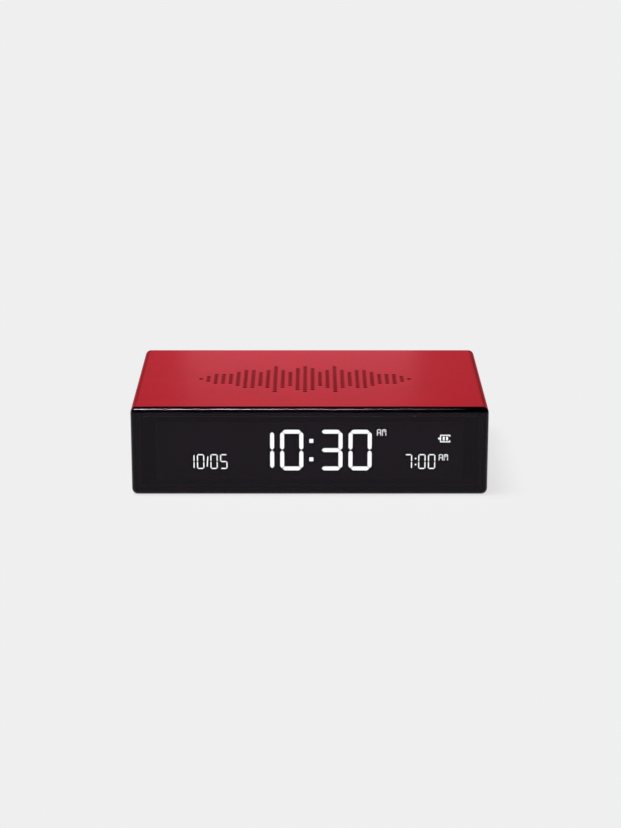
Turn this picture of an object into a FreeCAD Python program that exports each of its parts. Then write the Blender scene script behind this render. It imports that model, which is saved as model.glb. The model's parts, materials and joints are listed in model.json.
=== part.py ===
import FreeCAD, Part
import math
import os
import re
import Sketcher

# Reversible digital travel alarm clock: an aluminium sleeve, a black front lens over the
# display, and a recessed rear cover with the keys.  Millimetres; X to the right of the display,
# the display faces -Y, +Z up, origin at the middle of the footprint.

DIMENSIONS = {
    # whole clock
    "width": 130.0,
    "depth": 82.0,
    "height": 33.1,
    "corner_radius": 2.2,
    "slip": 0.15,
    "over": 1.0,
    "screw_slip": 0.15,
    "pilot_slip": 0.2,
    # sleeve
    "wall": 2.0,
    "edge_bevel": 0.2,
    "rear_round": 1.0,
    "rebate_step": 0.6,
    "rebate_depth": 4.1,
    # rows of sound holes, 29 columns wide
    "dot_pitch": 2.81,
    "dot_radius": 0.88,
    "grille_shift": -1.7,
    "grille_back": -1.8,
    "mesh_long": 84.0,
    "mesh_wide": 44.0,
    "mesh_thick": 0.2,
    "line_wide": 8.0,
    # front lens
    "lens_edge": 2.2,
    "lens_round": 1.9,
    "lip_wall": 1.2,
    "lip_depth": 2.5,
    # display, from the lens backwards
    "mask_wide": 122.8,
    "mask_tall": 26.0,
    "mask_thick": 0.2,
    "window_wide": 112.0,
    "window_tall": 22.0,
    "segment_thick": 0.1,
    "glass_wide": 118.0,
    "glass_tall": 24.0,
    "glass_thick": 1.8,
    "guide_wide": 113.0,
    "guide_tall": 21.4,
    "guide_thick": 3.0,
    "guide_drop": 0.6,
    "holder_wide": 123.0,
    "holder_tall": 26.1,
    "holder_floor": 1.2,
    "holder_slip": 0.2,
    "holder_post": 2.5,
    "holder_post_x": 54.0,
    "holder_post_z": 8.0,
    "front_gap": 4.5,
    "led_wide": 1.6,
    "led_tall": 3.0,
    "led_pitch": 7.0,
    "led_board": 0.8,
    "led_slip": 0.1,
    "led_inset": 0.3,
    "holder_bite": 4.0,
    "pilot_stop": 0.5,
    # flat cable from the display to the main board
    "ribbon_x": -8.0,
    "ribbon_wide": 20.0,
    "ribbon_thick": 0.3,
    "ribbon_slot_wide": 24.0,
    "ribbon_slot_deep": 3.0,
    "ribbon_slot_tall": 1.8,
    "ribbon_slot_lift": 0.1,
    "ribbon_gate_tall": 9.0,
    "ribbon_rise": 1.0,
    "ribbon_land": 0.65,
    "ribbon_dip": 3.0,
    "ribbon_turn": 2.6,
    "ribbon_end": 2.4,
    "connector_wide": 22.0,
    "connector_deep": 3.6,
    "connector_tall": 1.5,
    "connector_in": 4.6,
    # lit marks on the display
    "marks_lift": 0.22,
    "digit_tall": 14.0,
    "digit_wide": 6.97,
    "digit_stroke": 1.47,
    "digit_gap": 0.13,
    "digit_pitch": 10.62,
    "hour_left": -20.62,
    "minute_left": 4.28,
    "time_colon": 0.62,
    "small_tall": 5.25,
    "small_wide": 2.28,
    "small_stroke": 0.4,
    "small_gap": 0.11,
    "small_dot": 0.52,
    "small_pitch": 3.55,
    "date_left": -44.45,
    "slash_x": -37.25,
    "slash_lean": 0.15,
    "slash_short": 0.6,
    "day_left": -36.0,
    "alarm_left": 34.9,
    "alarm_colon": 38.65,
    "alarm_minute_left": 39.8,
    "mark_tall": 2.3,
    "mark_wide": 1.25,
    "mark_stroke": 0.27,
    "mark_gap": 0.03,
    "mark_pitch": 1.85,
    "time_mark_left": 24.6,
    "alarm_mark_left": 47.2,
    "charge_left": 47.45,
    "charge_low": 19.75,
    "charge_wide": 3.7,
    "charge_tall": 2.85,
    "charge_stroke": 0.35,
    # frames
    "frame_wide": 125.2,
    "frame_front": -28.1,
    "frame_back": 28.8,
    "frame_base": 2.3,
    "frame_floor": 1.5,
    "frame_top": 28.2,
    "lid_thick": 1.5,
    "lid_window_wide": 90.0,
    "lid_window_long": 46.0,
    "lid_bite": 5.0,
    "pad_far": 60.5,
    "pad_wide": 12.0,
    "pad_long": 24.0,
    "pad_front": -18.5,
    "sound_gate_long": 54.0,
    "boss_floor": 1.0,
    "boss_radius": 2.6,
    "pilot_radius": 1.02,
    "pillar_x": 57.6,
    "pillar_front": -23.0,
    "pillar_back": 11.0,
    "pillar_pilot_long": 9.0,
    "rear_boss_radius": 3.0,
    "rear_boss_x": 58.4,
    "rear_boss_low": 8.4,
    "rear_boss_high": 24.6,
    "rear_boss_long": 11.0,
    # screws
    "screw_radius": 1.0,
    "head_radius": 1.9,
    "head_tall": 1.2,
    "cover_screw_radius": 1.2,
    "cover_head_radius": 2.3,
    "cover_head_tall": 1.4,
    "cover_screw_long": 16.0,
    # main board
    "board_left": -54.5,
    "board_right": 10.0,
    "board_half": 24.0,
    "board_low": 8.0,
    "board_thick": 1.2,
    "board_hole_x": 3.6,
    "board_bite": 3.5,
    "chip_x": -20.0,
    "chip_y": 10.0,
    "chip_side": 10.0,
    "chip_thick": 1.4,
    "chip_lift": 0.1,
    "leg_wide": 0.35,
    "leg_long": 1.1,
    "leg_tall": 0.5,
    "leg_pitch": 0.8,
    "leg_out": 5.55,
    "charger_x": -4.0,
    "charger_y": 12.0,
    "charger_wide": 5.0,
    "charger_long": 4.0,
    "charger_tall": 1.5,
    "crystal_x": -36.0,
    "crystal_y": 2.0,
    "crystal_radius": 1.0,
    "crystal_long": 6.0,
    "part_x": -32.0,
    "part_y": 17.4,
    "part_pitch_x": 4.2,
    "part_pitch_y": 2.2,
    "part_long": 2.0,
    "part_wide": 1.25,
    "part_tall": 0.8,
    # tilt sensor
    "tilt_x": -46.0,
    "tilt_y": -8.0,
    "tilt_radius": 3.0,
    "tilt_wall": 1.4,
    "tilt_tall": 6.0,
    "tilt_floor": 1.0,
    "tilt_cap_tall": 1.0,
    "ball_radius": 1.5,
    "ball_gap": 0.02,
    # touch spring
    "spring_x": -34.0,
    "spring_y": 14.0,
    "spring_radius": 2.0,
    "spring_wire": 0.3,
    "spring_gap": 0.35,
    "spring_turns": 5.0,
    "spring_gate": 3.6,
    "spring_hole": 1.2,
    # buzzer
    "buzzer_x": -16.0,
    "buzzer_y": -6.0,
    "buzzer_radius": 8.5,
    "buzzer_tall": 7.0,
    "buzzer_wall": 1.0,
    "buzzer_mouth": 1.4,
    "disc_thick": 0.3,
    "disc_slip": 0.05,
    "ledge_tall": 1.6,
    "ledge_wide": 1.15,
    # battery
    "cell_left": 15.4,
    "cell_wide": 37.0,
    "cell_long": 46.0,
    "cell_thick": 8.0,
    "cell_round": 1.5,
    "foam_thick": 0.5,
    "foam_inset": 1.0,
    "strap_wide": 8.0,
    "strap_thick": 1.0,
    "strap_y": 1.0,
    "strap_slip": 0.2,
    "strap_foot": 4.2,
    "strap_screw_in": 1.9,
    "lead_radius": 0.6,
    "lead_apart": 1.44,
    "lead_y": -12.0,
    "lead_out": 3.2,
    "lead_drop": 4.6,
    "lead_end": 1.2,
    "socket_long": 3.0,
    "socket_wide": 7.4,
    "socket_tall": 3.8,
    "socket_in": 5.6,
    "plug_long": 2.9,
    "plug_wide": 5.4,
    "plug_tall": 2.6,
    "plug_in": 2.65,
    "plug_lift": 0.9,
    # rear cover, key board and keys
    "cover_thick": 2.5,
    "cover_rim": 1.4,
    "cover_rim_depth": 3.0,
    "cover_round": 0.4,
    "tube_gap": 0.2,
    "sink_slip": 0.05,
    "bore_long": 20.0,
    "post_pilot_long": 5.0,
    "post_radius": 2.2,
    "post_x": 46.0,
    "post_z": 6.6,
    "key_board_thick": 1.2,
    "key_board_front": 29.1,
    "key_board_wide": 99.0,
    "key_board_tall": 19.0,
    "key_board_bite": 2.4,
    "header_x": -20.0,
    "header_deep": 2.5,
    "header_tall": 2.8,
    "pin_pitch": 2.54,
    "pin_side": 0.64,
    "pin_high": 1.6,
    "pin_past": 0.8,
    "pin_hole": 0.5,
    "key_first": 32.0,
    "key_pitch": 14.0,
    "key_long": 10.0,
    "key_tall": 5.6,
    "key_gap": 0.25,
    "key_proud": 0.7,
    "key_round": 0.5,
    "key_flange": 0.7,
    "key_flange_thick": 0.8,
    "key_rest_gap": 0.3,
    "key_post_radius": 1.4,
    "switch_side": 6.0,
    "switch_tall": 3.5,
    "switch_floor": 1.0,
    "stem_radius": 1.2,
    "stem_low": 1.6,
    "stem_proud": 0.9,
    "stem_gap": 0.05,
    "mark_depth": 0.2,
    "sign_long": 2.6,
    "sign_stroke": 0.5,
    "dial_radius": 1.6,
    "dial_inner": 1.25,
    "hand_stroke": 0.35,
    "hand_tall": 1.0,
    "hand_wide": 0.9,
    "bell_radius": 0.95,
    "bell_rise": 0.4,
    "bell_tall": 1.3,
    "bell_brim": 2.9,
    "bell_brim_tall": 0.4,
    "bell_clapper": 0.35,
    "reset_x": -40.0,
    "reset_side": 4.0,
    "pinhole_radius": 0.8,
    # charging socket, to the standard receptacle's sizes
    "usb_x": -28.0,
    "usb_long": 8.34,
    "usb_tall": 2.56,
    "usb_shell": 0.3,
    "usb_gap": 0.2,
    "usb_sunk": 1.2,
    "usb_floor": 1.2,
    "scoop_deep": 1.0,
    "scoop_wide": 2.2,
    "usb_tongue_wide": 6.69,
    "usb_tongue_thick": 0.7,
    "usb_tongue_short": 0.6,
}

COLUMNS = 29
HALF_ROWS = 6
WAVE_REACH = 15
WAVE_FLOOR = 0.55
WAVE_PERIOD = 4
COLON_SPREAD = 0.22
CELL_SHARES = (0.36, 0.68)
BEND_SHARE = 0.45
CROSS_LONG = 1.2
CROSS_WIDE = 0.28
CROSS_DEEP = 0.55
LEG_STEPS = 5
PART_COLUMNS = 6
PART_ROWS = 2
PINS = 6
KEYS = ("time", "alarm", "minus", "plus")
SEGMENTS = {"0": "abcdef", "1": "bc", "3": "abcdg", "5": "acdfg", "7": "abc", "A": "abcefg", "M": "abcefi"}

FRONT = "(-depth / 2)"
MIDDLE = "(height / 2)"
LENS_BACK = "(lens_edge - depth / 2)"
GLASS_FRONT = "(lens_edge + mask_thick - depth / 2)"
GUIDE_FRONT = "(lens_edge + mask_thick + glass_thick - depth / 2)"
HOLDER_BACK = "(lens_edge + mask_thick + glass_thick + guide_thick + holder_floor - depth / 2)"
BOARD_TOP = "(board_low + board_thick)"
FLOOR_TOP = "(frame_base + frame_floor)"
COVER_FRONT = "(depth / 2 - rebate_depth)"
COVER_BACK = "(depth / 2 - rebate_depth + cover_thick)"
KEY_BOARD_BACK = "(key_board_front + key_board_thick)"
FLANGE_BACK = "(depth / 2 - rebate_depth - key_rest_gap)"

TURN = {
    "z": FreeCAD.Rotation(),
    "-z": FreeCAD.Rotation(FreeCAD.Vector(1, 0, 0), 180),
    "y": FreeCAD.Rotation(FreeCAD.Vector(1, 0, 0), -90),
    "-y": FreeCAD.Rotation(FreeCAD.Vector(1, 0, 0), 90),
    "x": FreeCAD.Rotation(FreeCAD.Vector(0, 1, 0), 90),
}

doc = FreeCAD.newDocument("TravelAlarmClock")
sheet = doc.addObject("Spreadsheet::Sheet", "Dims")
nodes = []


# ---------------------------------------------------------------- sheet and expressions

def fill_sheet():
    for row, (alias, size) in enumerate(DIMENSIONS.items(), start=1):
        sheet.set("A%d" % row, alias)
        sheet.set("B%d" % row, str(size))
        sheet.setAlias("B%d" % row, alias)
    doc.recompute()


def cell(formula):
    """A formula written with the sheet's aliases, as an expression on the sheet."""
    return re.sub(r"[a-z][a-z_]*", lambda word: "Dims." + word.group(), str(formula))


def value(formula):
    """What a formula comes to now, as a plain number."""
    return float(sheet.evalExpression(cell(formula)))


def bind(item, **formulas):
    for name, formula in formulas.items():
        item.setExpression(name, cell(formula))
    return item


def place(item, at, way="z"):
    item.Placement = FreeCAD.Placement(FreeCAD.Vector(), TURN[way])
    for axis, formula in zip("xyz", at):
        item.setExpression("Placement.Base." + axis, cell(formula))
    return item


def keep(item, name=None):
    """Count an object as one of the clock's pieces, under its own name."""
    if name:
        item.Label = name
    nodes.append(item)
    return item


# ---------------------------------------------------------------- primitives and booleans

def block(name, size, at):
    box = doc.addObject("Part::Box", name)
    bind(box, Length=size[0], Width=size[1], Height=size[2])
    return place(box, at)


def rod(name, radius, length, at, way="z"):
    cylinder = doc.addObject("Part::Cylinder", name)
    bind(cylinder, Radius=radius, Height=length)
    return place(cylinder, at, way)


def join(name, pieces):
    fusion = doc.addObject("Part::MultiFuse", name)
    fusion.Shapes = pieces
    fusion.Refine = True
    return fusion


def group(name, pieces):
    compound = doc.addObject("Part::Compound", name)
    compound.Links = pieces
    return compound


def carve(name, base, tools):
    cut = doc.addObject("Part::Cut", name)
    cut.Base = base
    cut.Tool = tools[0] if len(tools) == 1 else group(name + "_tools", tools)
    return cut


def screw(name, at, way, radius, length, head_radius, head_tall, countersunk=False):
    """A cross-head screw whose head's flat top is at its origin, and whose shank points along -way."""
    if countersunk:
        head = doc.addObject("Part::Cone", name + "_head")
        bind(head, Radius1=radius, Radius2=head_radius, Height=head_tall)
        place(head, (0, 0, "-" + head_tall))
    else:
        head = rod(name + "_head", head_radius, head_tall, (0, 0, "-" + head_tall))
    shank = rod(name + "_shank", radius, length, (0, 0, "-(%s) - %s" % (length, head_tall)))
    arm = "%s * %s" % (head_radius, CROSS_LONG)
    slot = "%s * %s" % (head_radius, CROSS_WIDE)
    deep = "%s * %s" % (head_tall, CROSS_DEEP)
    cross = join(name + "_cross", [
        block(name + "_slot_a", (arm, slot, deep), ("-%s / 2" % arm, "-%s / 2" % slot, "-" + deep)),
        block(name + "_slot_b", (slot, arm, deep), ("-%s / 2" % slot, "-%s / 2" % arm, "-" + deep)),
    ])
    return place(carve(name, join(name + "_blank", [head, shank]), [cross]), at, way)


def screws(name, places, way, length, head="pan"):
    """A set of equal screws as one piece of separate solids."""
    cover = head == "countersunk"
    sizes = ("cover_screw_radius", length, "cover_head_radius", "cover_head_tall") if cover else (
        "screw_radius", length, "head_radius", "head_tall")
    made = [screw("%s_%d" % (name, k), at, way, *sizes, countersunk=cover) for k, at in enumerate(places)]
    return keep(group(name, made))


# ---------------------------------------------------------------- sketched bodies

def new_body(name, at):
    body = doc.addObject("PartDesign::Body", name)
    return place(body, at)


def sketch_on(body, name, role="XZ_Plane", offset=0):
    """A sketch on one of the body's own planes; on XZ_Plane an offset counts towards +Y."""
    sketch = body.newObject("Sketcher::SketchObject", name)
    plane = next(feature for feature in body.Origin.OriginFeatures if feature.Role == role)
    sketch.AttachmentSupport = [(plane, "")]
    sketch.MapMode = "FlatFace"
    sketch.setExpression("AttachmentOffset.Base.z", cell("-(%s)" % offset))
    return sketch


def constrain(sketch, kind, args, formula):
    index = sketch.addConstraint(Sketcher.Constraint(kind, *args, value(formula)))
    sketch.setExpression("Constraints[%d]" % index, cell(formula))


def draw_rounded_rectangle(sketch, wide, tall, radius):
    """A rounded rectangle about the sketch's origin."""
    half_x = value("(%s) / 2" % wide)
    half_y = value("(%s) / 2" % tall)
    bend = value(radius)
    first = sketch.GeometryCount
    corners = ((1, 1), (-1, 1), (-1, -1), (1, -1))
    for quarter, (side_x, side_y) in enumerate(corners):
        centre = FreeCAD.Vector(side_x * (half_x - bend), side_y * (half_y - bend), 0)
        circle = Part.Circle(centre, FreeCAD.Vector(0, 0, 1), bend)
        start = quarter * math.pi / 2
        sketch.addGeometry(Part.ArcOfCircle(circle, start, start + math.pi / 2), False)
    for quarter in range(4):
        here = sketch.Geometry[first + quarter].EndPoint
        there = sketch.Geometry[first + (quarter + 1) % 4].StartPoint
        line = sketch.addGeometry(Part.LineSegment(here, there), False)
        sketch.addConstraint(Sketcher.Constraint("Tangent", first + quarter, 2, line, 1))
        sketch.addConstraint(Sketcher.Constraint("Tangent", line, 2, first + (quarter + 1) % 4, 1))
        sketch.addConstraint(Sketcher.Constraint("Vertical" if quarter % 2 else "Horizontal", line))
        if quarter:
            sketch.addConstraint(Sketcher.Constraint("Equal", first, first + quarter))
    sketch.addConstraint(Sketcher.Constraint("Symmetric", first, 3, first + 2, 3, -1, 1))
    constrain(sketch, "Radius", (first,), radius)
    constrain(sketch, "DistanceX", (first + 2, 3, first, 3), "%s - 2 * (%s)" % (wide, radius))
    constrain(sketch, "DistanceY", (first + 2, 3, first, 3), "%s - 2 * (%s)" % (tall, radius))


def draw_pill(sketch, long, tall):
    """A straight-sided slot outline about the sketch's origin, long along the sketch's X."""
    bend = value("(%s) / 2" % tall)
    reach = value("(%s - (%s)) / 2" % (long, tall))
    first = sketch.GeometryCount
    for side in (1, -1):
        circle = Part.Circle(FreeCAD.Vector(side * reach, 0, 0), FreeCAD.Vector(0, 0, 1), bend)
        start = -side * math.pi / 2
        sketch.addGeometry(Part.ArcOfCircle(circle, start, start + math.pi), False)
    for arc, other in ((first, first + 1), (first + 1, first)):
        ends = (sketch.Geometry[arc].EndPoint, sketch.Geometry[other].StartPoint)
        line = sketch.addGeometry(Part.LineSegment(*ends), False)
        sketch.addConstraint(Sketcher.Constraint("Tangent", arc, 2, line, 1))
        sketch.addConstraint(Sketcher.Constraint("Tangent", line, 2, other, 1))
    sketch.addConstraint(Sketcher.Constraint("Symmetric", first, 3, first + 1, 3, -1, 1))
    sketch.addConstraint(Sketcher.Constraint("Horizontal", first, 3, first + 1, 3))
    constrain(sketch, "Radius", (first,), "(%s) / 2" % tall)
    constrain(sketch, "DistanceX", (first + 1, 3, first, 3), "%s - (%s)" % (long, tall))


def draw_circle(sketch, radius, x=0, y=0):
    centre = FreeCAD.Vector(value(x), value(y), 0)
    circle = sketch.addGeometry(Part.Circle(centre, FreeCAD.Vector(0, 0, 1), value(radius)), False)
    constrain(sketch, "Radius", (circle,), radius)
    if x == 0 and y == 0:
        sketch.addConstraint(Sketcher.Constraint("Coincident", circle, 3, -1, 1))
    else:
        constrain(sketch, "DistanceX", (-1, 1, circle, 3), x)
        constrain(sketch, "DistanceY", (-1, 1, circle, 3), y)


def pad_back(body, sketch, length):
    """Material from the sketch towards +Y."""
    pad = body.newObject("PartDesign::Pad", sketch.Name + "_pad")
    pad.Profile = sketch
    pad.Reversed = True
    return bind(pad, Length=length)


def pocket_back(body, sketch, length):
    """A cut from the sketch towards +Y, which must take material away."""
    doc.recompute()
    before = body.Shape.Volume
    pocket = body.newObject("PartDesign::Pocket", sketch.Name + "_pocket")
    pocket.Profile = sketch
    bind(pocket, Length=length)
    doc.recompute()
    if body.Shape.Volume > before - 0.001:
        raise RuntimeError(sketch.Name + " cuts nothing")
    return pocket


def rim_edges(feature, y, half_wide, half_tall):
    """Names of the edges in the plane y that reach the outline's full half width or half height."""
    found = []
    for number, edge in enumerate(feature.Shape.Edges, start=1):
        box = edge.BoundBox
        flat = abs(box.YMin - y) < 1e-4 and abs(box.YMax - y) < 1e-4
        reach_x = abs(max(abs(box.XMin), abs(box.XMax)) - half_wide) < 1e-3
        reach_z = abs(max(abs(box.ZMin), abs(box.ZMax)) - half_tall) < 1e-3
        if flat and (reach_x or reach_z):
            found.append("Edge%d" % number)
    return found


def dress(body, kind, y, wide, tall, size):
    """Fillet or chamfer the outline's edges in the plane y of the body."""
    doc.recompute()
    base = body.Tip
    names = rim_edges(base, value(y), value("(%s) / 2" % wide), value("(%s) / 2" % tall))
    feature = body.newObject("PartDesign::" + kind, "%s_%s_%d" % (body.Name, kind.lower(), len(body.Group)))
    feature.Base = (base, names)
    if kind == "Fillet":
        return bind(feature, Radius=size)
    return bind(feature, Size=size)


# ---------------------------------------------------------------- sleeve and lens

def wave_half(column):
    """Rows above the middle row that one column of the sound-wave pattern has."""
    ripple = WAVE_FLOOR + (1 - WAVE_FLOOR) * math.cos(math.pi * column / WAVE_PERIOD) ** 2
    return round(HALF_ROWS * (1 - (column / WAVE_REACH) ** 2) * ripple)


def sound_holes():
    """A sound wave of holes through the top, and one flat line of them through the bottom."""
    holes = []
    side = COLUMNS // 2
    for column in range(-side, side + 1):
        half = wave_half(column)
        for row in range(-half, half + 1):
            at = ("grille_shift + dot_pitch * %d" % column, "grille_back + dot_pitch * %d" % row,
                  "height - wall - over")
            holes.append(rod("top_hole", "dot_radius", "wall + 2 * over", at))
        at = ("dot_pitch * %d" % column, "0", "-over")
        holes.append(rod("bottom_hole", "dot_radius", "wall + 2 * over", at))
    return holes


def make_body_sleeve():
    body = new_body("sleeve_extrusion", (0, LENS_BACK, MIDDLE))
    outline = sketch_on(body, "sleeve_outline")
    draw_rounded_rectangle(outline, "width", "height", "corner_radius")
    long = "(depth - lens_edge)"
    pad_back(body, outline, long)
    bore = sketch_on(body, "sleeve_bore")
    draw_rounded_rectangle(bore, "width - 2 * wall", "height - 2 * wall", "corner_radius / 2")
    pocket_back(body, bore, long)
    rebate = sketch_on(body, "sleeve_rebate", offset=long + " - rebate_depth")
    draw_rounded_rectangle(rebate, "width - 2 * wall + 2 * rebate_step",
                           "height - 2 * wall + 2 * rebate_step", "corner_radius - rebate_step")
    pocket_back(body, rebate, "rebate_depth")
    dress(body, "Fillet", long, "width", "height", "rear_round")
    dress(body, "Chamfer", "0", "width", "height", "edge_bevel")
    return keep(carve("body_sleeve", body, sound_holes()))


def make_front_lens():
    body = keep(new_body("front_lens", (0, FRONT, MIDDLE)))
    outline = sketch_on(body, "lens_outline")
    draw_rounded_rectangle(outline, "width", "height", "corner_radius")
    pad_back(body, outline, "lens_edge")
    dress(body, "Fillet", "0", "width", "height", "lens_round")
    dress(body, "Chamfer", "lens_edge", "width", "height", "edge_bevel / 2")
    lip = sketch_on(body, "lens_lip", offset="lens_edge")
    lip_wide = "(width - 2 * wall - 2 * slip)"
    lip_tall = "(height - 2 * wall - 2 * slip)"
    draw_rounded_rectangle(lip, lip_wide, lip_tall, "corner_radius / 2")
    draw_rounded_rectangle(lip, lip_wide + " - 2 * lip_wall", lip_tall + " - 2 * lip_wall",
                           "corner_radius / 4")
    pad_back(body, lip, "lip_depth")
    return body


# ---------------------------------------------------------------- display

def make_display_layers():
    film = block("mask_film", ("mask_wide", "mask_thick", "mask_tall"),
                 ("-mask_wide / 2", LENS_BACK, MIDDLE + " - mask_tall / 2"))
    window = block("mask_window", ("window_wide", "mask_thick + 2 * over", "window_tall"),
                   ("-window_wide / 2", LENS_BACK + " - over", MIDDLE + " - window_tall / 2"))
    keep(carve("display_mask", film, [window]))
    keep(block("lcd_glass", ("glass_wide", "glass_thick", "glass_tall"),
               ("-glass_wide / 2", GLASS_FRONT, MIDDLE + " - glass_tall / 2")))
    keep(block("light_guide", ("guide_wide", "guide_thick", "guide_tall"),
               ("-guide_wide / 2", GUIDE_FRONT, MIDDLE + " + guide_drop - guide_tall / 2")))


def make_backlight():
    """Two upright strips of light-emitting diodes, one at each end of the light guide."""
    strips = []
    diodes = []
    strip_back = GUIDE_FRONT + " + led_slip"
    for side, name in ((1, "right"), (-1, "left")):
        near = "guide_wide / 2 + led_slip"
        far = near + " + led_wide"
        low = "%s + guide_drop - guide_tall / 2" % MIDDLE
        strip_x = far if side > 0 else "-(%s) - led_board" % far
        strips.append(block("strip_" + name, ("led_board", "guide_thick - 2 * led_slip", "guide_tall"),
                            (strip_x, strip_back, low)))
        diode_x = near if side > 0 else "-(%s) - led_wide" % near
        for step in (-1, 0, 1):
            low_end = "%s + guide_drop + led_pitch * %d - led_tall / 2" % (MIDDLE, step)
            diodes.append(block("diode_%s" % name, ("led_wide", "guide_thick - 2 * led_inset", "led_tall"),
                                (diode_x, GUIDE_FRONT + " + led_inset", low_end)))
    keep(group("backlight_strips", strips))
    keep(group("backlight_leds", diodes))


def make_display_holder():
    body = new_body("holder_tray", (0, HOLDER_BACK, MIDDLE))
    plate = sketch_on(body, "holder_plate", offset="-holder_floor")
    draw_rounded_rectangle(plate, "holder_wide", "holder_tall", "corner_radius / 4")
    pad_back(body, plate, "holder_floor")
    wall = sketch_on(body, "holder_wall", offset="-(holder_floor + guide_thick + glass_thick)")
    draw_rounded_rectangle(wall, "holder_wide", "holder_tall", "corner_radius / 4")
    draw_rounded_rectangle(wall, "glass_wide + 2 * holder_slip", "glass_tall + 2 * holder_slip",
                           "corner_radius / 8")
    pad_back(body, wall, "guide_thick + glass_thick")
    posts = []
    pilots = []
    for side in (1, -1):
        for level in ("holder_post_z", "height - holder_post_z"):
            at = ("holder_post_x * %d" % side, HOLDER_BACK, level)
            posts.append(rod("holder_post", "holder_post", "front_gap", at, "y"))
            pilots.append(rod("holder_pilot", "pilot_radius + pilot_slip", "front_gap - pilot_stop",
                              (at[0], HOLDER_BACK + " + pilot_stop", level), "y"))
    ribbon_slot = block("ribbon_slot", ("ribbon_slot_wide", "ribbon_slot_deep", "ribbon_slot_tall"),
                        ("ribbon_x - ribbon_slot_wide / 2", HOLDER_BACK + " - ribbon_slot_deep + over",
                         MIDDLE + " - glass_tall / 2 + ribbon_slot_lift"))
    keep(carve("display_holder", join("holder_blank", [body] + posts), pilots + [ribbon_slot]))
    places = [("holder_post_x * %d" % side, "frame_front + frame_floor + head_tall", level)
              for side in (1, -1) for level in ("holder_post_z", "height - holder_post_z")]
    screws("holder_screws", places, "y", "frame_floor + holder_bite")


def hexagon_bar(start, end, stroke):
    """One straight display segment from start to end with pointed ends."""
    way = end.sub(start)
    way.normalize()
    side = FreeCAD.Vector(-way.z, 0, way.x).multiply(stroke / 2)
    tip = FreeCAD.Vector(way).multiply(stroke / 2)
    points = [start, start + tip + side, end - tip + side, end, end - tip - side, start + tip - side]
    return prism(points)


def prism(points):
    """A flat mark on the glass with the given outline in the plane y = 0."""
    face = Part.Face(Part.makePolygon(points + points[:1]))
    return face.extrude(FreeCAD.Vector(0, value("segment_thick"), 0))


def point(x, z):
    return FreeCAD.Vector(x, 0, z)


def character(letter, left, low, wide, tall, stroke, gap):
    """The lit segments of one character; low is the centre line of its lowest bar."""
    right = left + wide
    half = low + tall / 2
    top = low + tall
    centre = left + wide / 2
    ends = {
        "a": (point(left, top), point(right, top)),
        "b": (point(right, top), point(right, half)),
        "c": (point(right, half), point(right, low)),
        "d": (point(left, low), point(right, low)),
        "e": (point(left, half), point(left, low)),
        "f": (point(left, top), point(left, half)),
        "g": (point(left, half), point(right, half)),
        "i": (point(centre, top), point(centre, half)),
    }
    bars = []
    for name in SEGMENTS[letter]:
        start, end = ends[name]
        way = end.sub(start)
        way.normalize()
        way.multiply(gap + (stroke / 2 if name == "i" else 0))
        bars.append(hexagon_bar(start + way, end - way, stroke))
    return bars


def square(x, z, side):
    half = side / 2
    return prism([point(x - half, z - half), point(x + half, z - half), point(x + half, z + half),
                  point(x - half, z + half)])


def word(text, left, low, prefix, pitch):
    wide, tall = value(prefix + "_wide"), value(prefix + "_tall")
    stroke, gap = value(prefix + "_stroke"), value(prefix + "_gap")
    bars = []
    for place_number, letter in enumerate(text):
        bars += character(letter, left + place_number * pitch, low, wide, tall, stroke, gap)
    return bars


def charge_mark():
    """The battery pictogram: an outline with a gap at its right, a nub and two full cells."""
    left, low = value("charge_left"), value("charge_low")
    right, top = left + value("charge_wide"), low + value("charge_tall")
    line = value("charge_stroke")
    middle = (low + top) / 2
    jaw = (top - low) / 4
    outline = [point(left, low), point(right, low), point(right, low + jaw), point(right - line, low + jaw),
               point(right - line, low + line), point(left + line, low + line),
               point(left + line, top - line), point(right - line, top - line),
               point(right - line, top - jaw), point(right, top - jaw), point(right, top), point(left, top)]
    nub = square(left - line, middle, 2 * line)
    cells = []
    for share in CELL_SHARES:
        x = left + (right - left) * share
        cells.append(prism([point(x - line, low + 2 * line), point(x + line, low + 2 * line),
                            point(x + line, top - 2 * line), point(x - line, top - 2 * line)]))
    return [prism(outline), nub] + cells


def make_lcd_segments():
    """Time, date and alarm time in lit segments; the small characters stand on the large ones' line."""
    middle = value(MIDDLE + " + marks_lift")
    digit_low = middle - value("digit_tall") / 2
    small_low = digit_low
    marks = word("10", value("hour_left"), digit_low, "digit", value("digit_pitch"))
    marks += word("30", value("minute_left"), digit_low, "digit", value("digit_pitch"))
    marks += word("10", value("date_left"), small_low, "small", value("small_pitch"))
    marks += word("05", value("day_left"), small_low, "small", value("small_pitch"))
    marks += word("7", value("alarm_left"), small_low, "small", value("small_pitch"))
    marks += word("00", value("alarm_minute_left"), small_low, "small", value("small_pitch"))
    stroke = value("digit_stroke")
    for level in (-1, 1):
        marks.append(square(value("time_colon"), middle + level * value("digit_tall") / 4, stroke))
        small_level = small_low + value("small_tall") * (0.5 + level * COLON_SPREAD)
        marks.append(square(value("alarm_colon"), small_level, value("small_dot")))
    slash, lean, short = value("slash_x"), value("slash_lean"), value("slash_short")
    small_top = small_low + value("small_tall")
    marks.append(hexagon_bar(point(slash - lean, small_low + short), point(slash + lean, small_top - short),
                             value("small_stroke")))
    digit_top = digit_low + value("digit_tall")
    marks += word("AM", value("time_mark_left"), digit_top - value("mark_tall") + stroke / 2, "mark",
                  value("mark_pitch"))
    marks += word("AM", value("alarm_mark_left"), small_top - value("mark_tall"), "mark", value("mark_pitch"))
    marks += charge_mark()
    layer = doc.addObject("Part::Feature", "lcd_segments")
    layer.Shape = Part.makeCompound(marks)
    place(layer, (0, GLASS_FRONT + " - segment_thick", 0))
    return keep(layer)


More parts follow.
